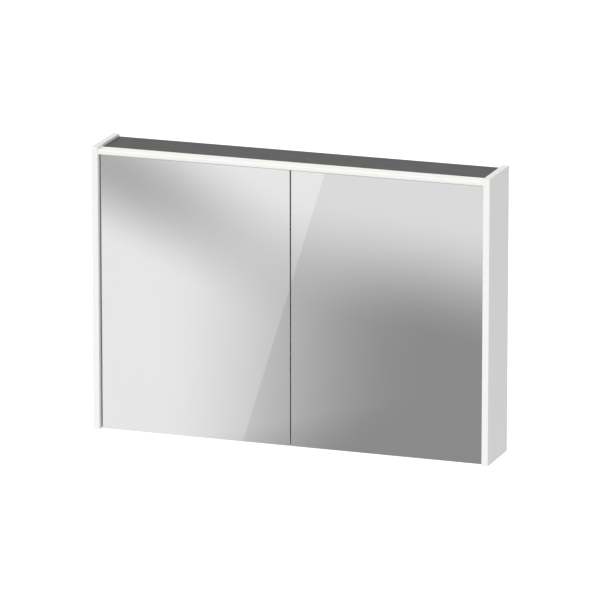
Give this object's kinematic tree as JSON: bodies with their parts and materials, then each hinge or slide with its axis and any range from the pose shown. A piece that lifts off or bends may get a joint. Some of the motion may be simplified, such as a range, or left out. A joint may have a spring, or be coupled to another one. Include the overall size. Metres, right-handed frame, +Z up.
{
  "type": "mirror cabinet",
  "caption": "wall-hung bathroom mirror cabinet: mirrored doors between white side panels, light bar and dark cover on top, glass shelves, switch and socket inside",
  "frame": {"origin": "on the wall plane, in the middle of the four wall screws", "axes": "+X to the right seen from the room, +Y into the wall, +Z up"},
  "size_m": [1, 0.148, 0.7],
  "materials": {
    "white_lacquer": "white satin lacquer on board",
    "door_board": "white satin lacquer, dark grey edge band",
    "silvered_mirror": "silvered float glass, polished edges",
    "clear_glass": "clear float glass, polished edges",
    "anthracite_metal": "anthracite powder coat",
    "satin_aluminium": "satin anodised",
    "opal_acrylic": "opal, satin",
    "white_plastic": "white moulded, satin",
    "grey_plastic": "grey moulded",
    "zinc_steel": "zinc plated",
    "nickel_steel": "nickel plated",
    "nylon": "natural nylon",
    "magnet_cap": "dark moulded cap round a magnet",
    "clear_silicone": "translucent",
    "cable_rubber": "white cable sheath",
    "beech": "fluted beech",
    "circuit_board": "white solder mask",
    "led_phosphor": "phosphor coated"
  },
  "bodies": {
    "carcass": {"back_panel": "white_lacquer", "back_panel_caps": "white_plastic", "bottom_board": "white_lacquer", "cable_gland": "grey_plastic", "carcass_dowels": "beech", "centre_divider": "white_lacquer", "cover_screws": "zinc_steel", "door_bumpers": "clear_silicone", "door_magnets": "magnet_cap", "driver_screws": "zinc_steel", "hanger_adjusters": "zinc_steel", "hanger_bodies": "grey_plastic", "hanger_hooks": "zinc_steel", "hanger_screws": "zinc_steel", "hinge_arm_screws": "zinc_steel", "hinge_bushes": "nylon", "lead_grommet": "cable_rubber", "led_board": "circuit_board", "led_chips": "led_phosphor", "led_driver": "white_plastic", "led_lead": "cable_rubber", "left_hinge_arms": "nickel_steel", "left_lower_shelf": "clear_glass", "left_side_panel": "white_lacquer", "left_upper_shelf": "clear_glass", "light_bar_housing": "satin_aluminium", "light_diffuser": "opal_acrylic", "light_end_caps": "opal_acrylic", "light_rail": "satin_aluminium", "rail_screws": "zinc_steel", "right_hinge_arms": "nickel_steel", "right_lower_shelf": "clear_glass", "right_side_panel": "white_lacquer", "right_upper_shelf": "clear_glass", "shelf_pins": "nickel_steel", "socket_insert": "white_plastic", "switch_lead": "cable_rubber", "switch_unit_housing": "white_plastic", "terminal_box": "grey_plastic", "top_board": "white_lacquer", "top_cover": "anthracite_metal", "wall_plates": "zinc_steel"},
    "left_door": {"left_front_mirror": "silvered_mirror", "left_door_core": "door_board", "left_rear_mirror": "silvered_mirror", "left_strike_plate": "zinc_steel", "left_hinge_shoes": "nickel_steel", "left_shoe_screws": "zinc_steel", "left_hinge_pins": "nickel_steel"},
    "right_door": {"right_front_mirror": "silvered_mirror", "right_door_core": "door_board", "right_rear_mirror": "silvered_mirror", "right_strike_plate": "zinc_steel", "right_hinge_shoes": "nickel_steel", "right_shoe_screws": "zinc_steel", "right_hinge_pins": "nickel_steel"},
    "light_rocker": {"rocker_switch": "white_plastic"}
  },
  "joints": [
    {"name": "left_door_swing", "type": "hinge", "parent": "carcass", "child": "left_door", "pos_m": [-0.468, -0.1278, -0.2], "axis": [0, 0, -1], "range_deg": [0, 105]},
    {"name": "right_door_swing", "type": "hinge", "parent": "carcass", "child": "right_door", "pos_m": [0.468, -0.1278, -0.2], "axis": [0, 0, 1], "range_deg": [0, 105]},
    {"name": "light_rocker_tilt", "type": "hinge", "parent": "carcass", "child": "light_rocker", "pos_m": [0.039, -0.0595, 0.036], "axis": [-1, 0, 0], "range_deg": [0, 12]}
  ]
}
